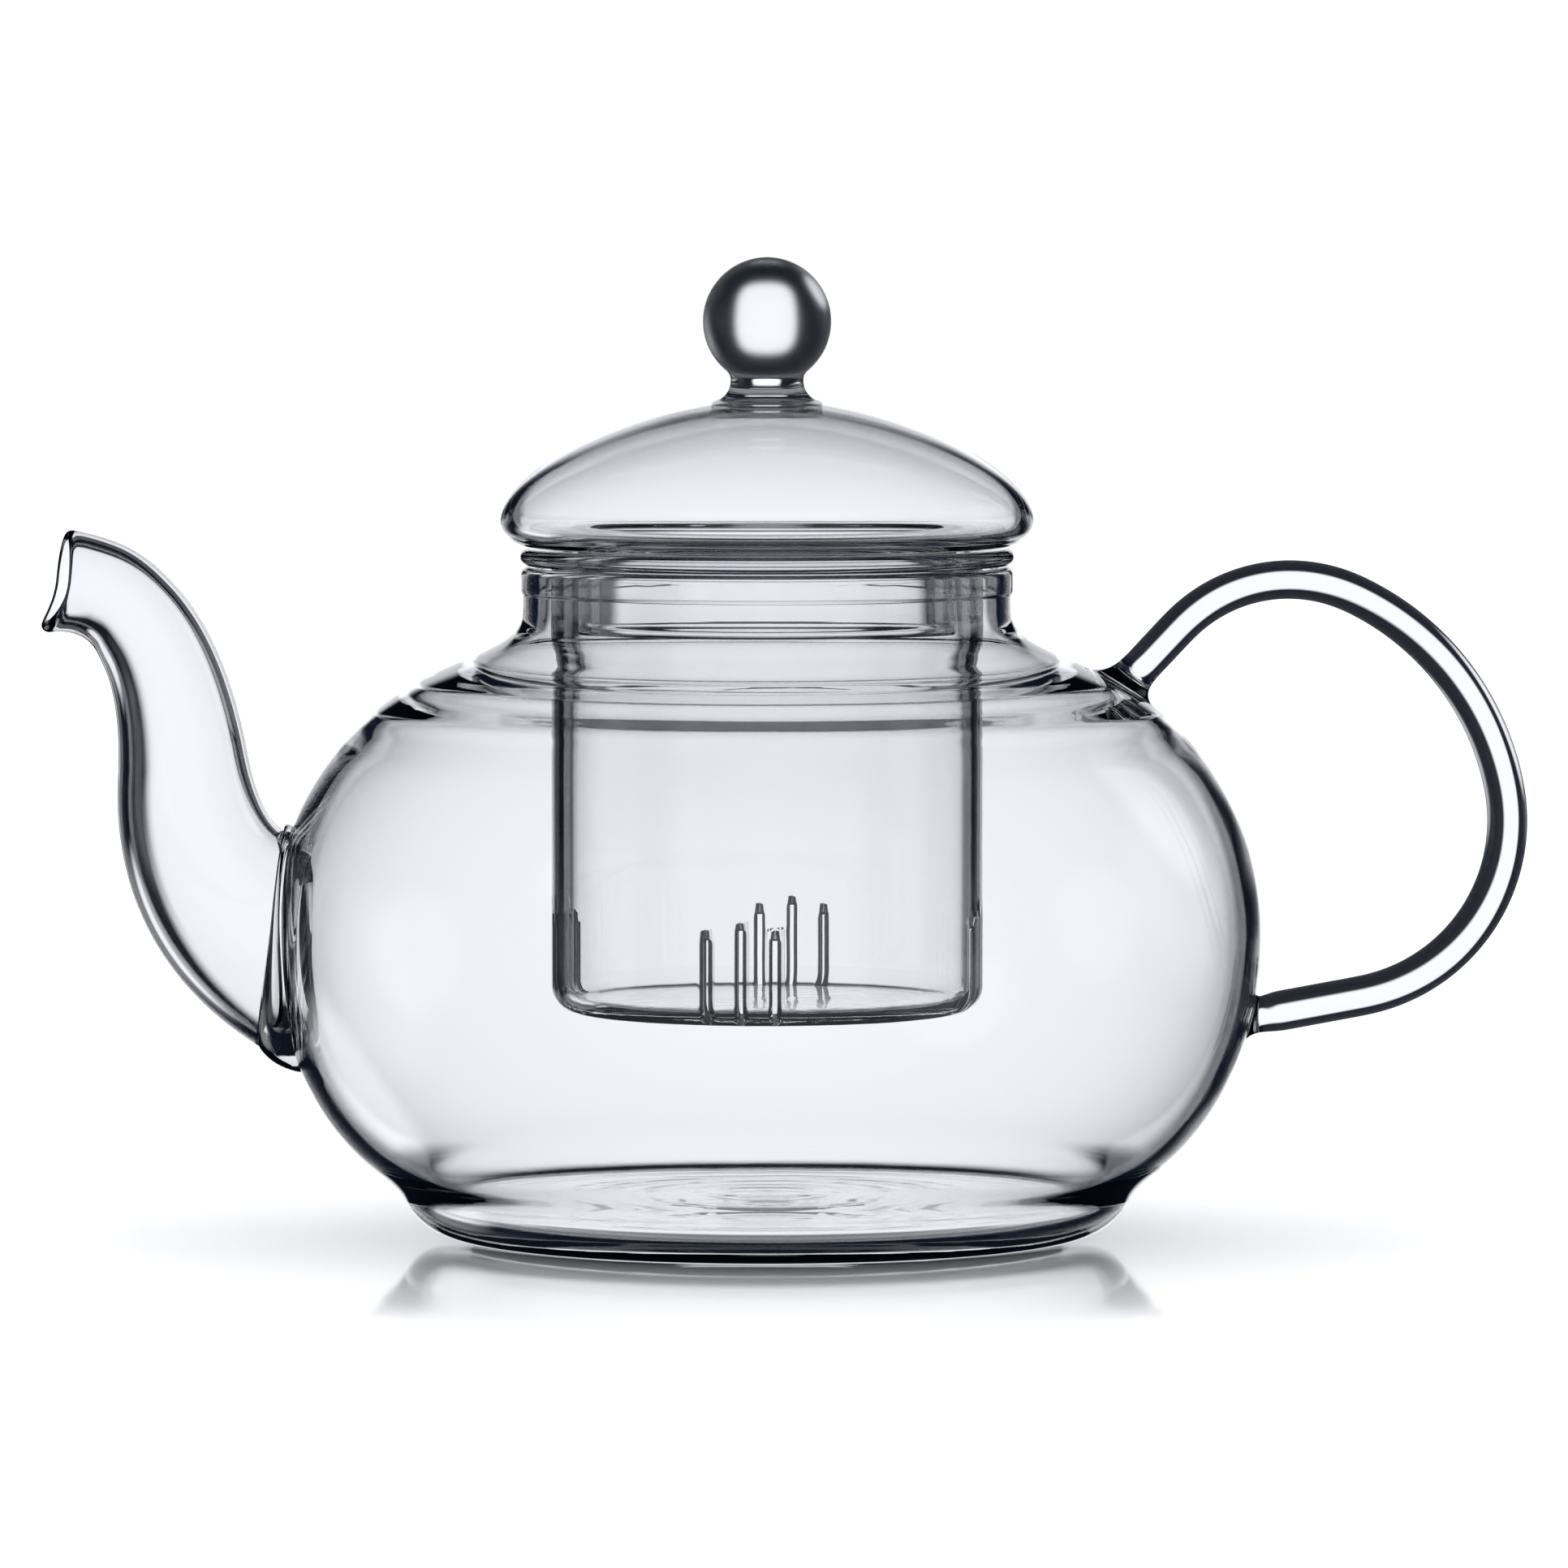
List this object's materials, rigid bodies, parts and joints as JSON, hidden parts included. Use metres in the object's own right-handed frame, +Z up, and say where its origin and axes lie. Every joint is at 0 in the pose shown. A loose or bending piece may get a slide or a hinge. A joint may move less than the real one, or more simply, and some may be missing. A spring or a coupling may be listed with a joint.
{
  "type": "glass teapot",
  "caption": "Squat clear glass teapot with a curved spout, a looped rod handle, a lift-out slotted glass infuser and a domed lid with a ball knob.",
  "frame": {"origin": "centre of the ring that the pot stands on, in the plane of the table", "axes": "+Z up along the axis of the pot and its neck, +X towards the handle, -X towards the spout"},
  "size_m": [0.2201, 0.1462, 0.1447],
  "materials": {
    "blown_glass": "clear borosilicate, fire-polished",
    "thick_glass": "clear borosilicate, melted beads and rims",
    "rod_glass": "clear solid borosilicate, fire-polished",
    "tube_glass": "clear drawn borosilicate tube"
  },
  "bodies": {
    "pot": {"pot_body": "blown_glass", "neck_rim": "thick_glass", "spout": "blown_glass", "spout_bead": "thick_glass", "handle": "rod_glass", "handle_upper_pad": "thick_glass", "handle_lower_pad": "thick_glass"},
    "infuser": {"infuser_tube": "tube_glass", "infuser_base": "tube_glass", "infuser_rim": "thick_glass"},
    "lid": {"lid_dome": "blown_glass", "lid_collar": "tube_glass", "knob_stem": "rod_glass", "knob_ball": "rod_glass"}
  },
  "joints": [
    {"name": "infuser_lift", "type": "slide", "parent": "pot", "child": "infuser", "axis": [0, 0, 1], "range_m": [0, 0.09]},
    {"name": "lid_lift", "type": "slide", "parent": "infuser", "child": "lid", "axis": [0, 0, 1], "range_m": [0, 0.045]}
  ]
}
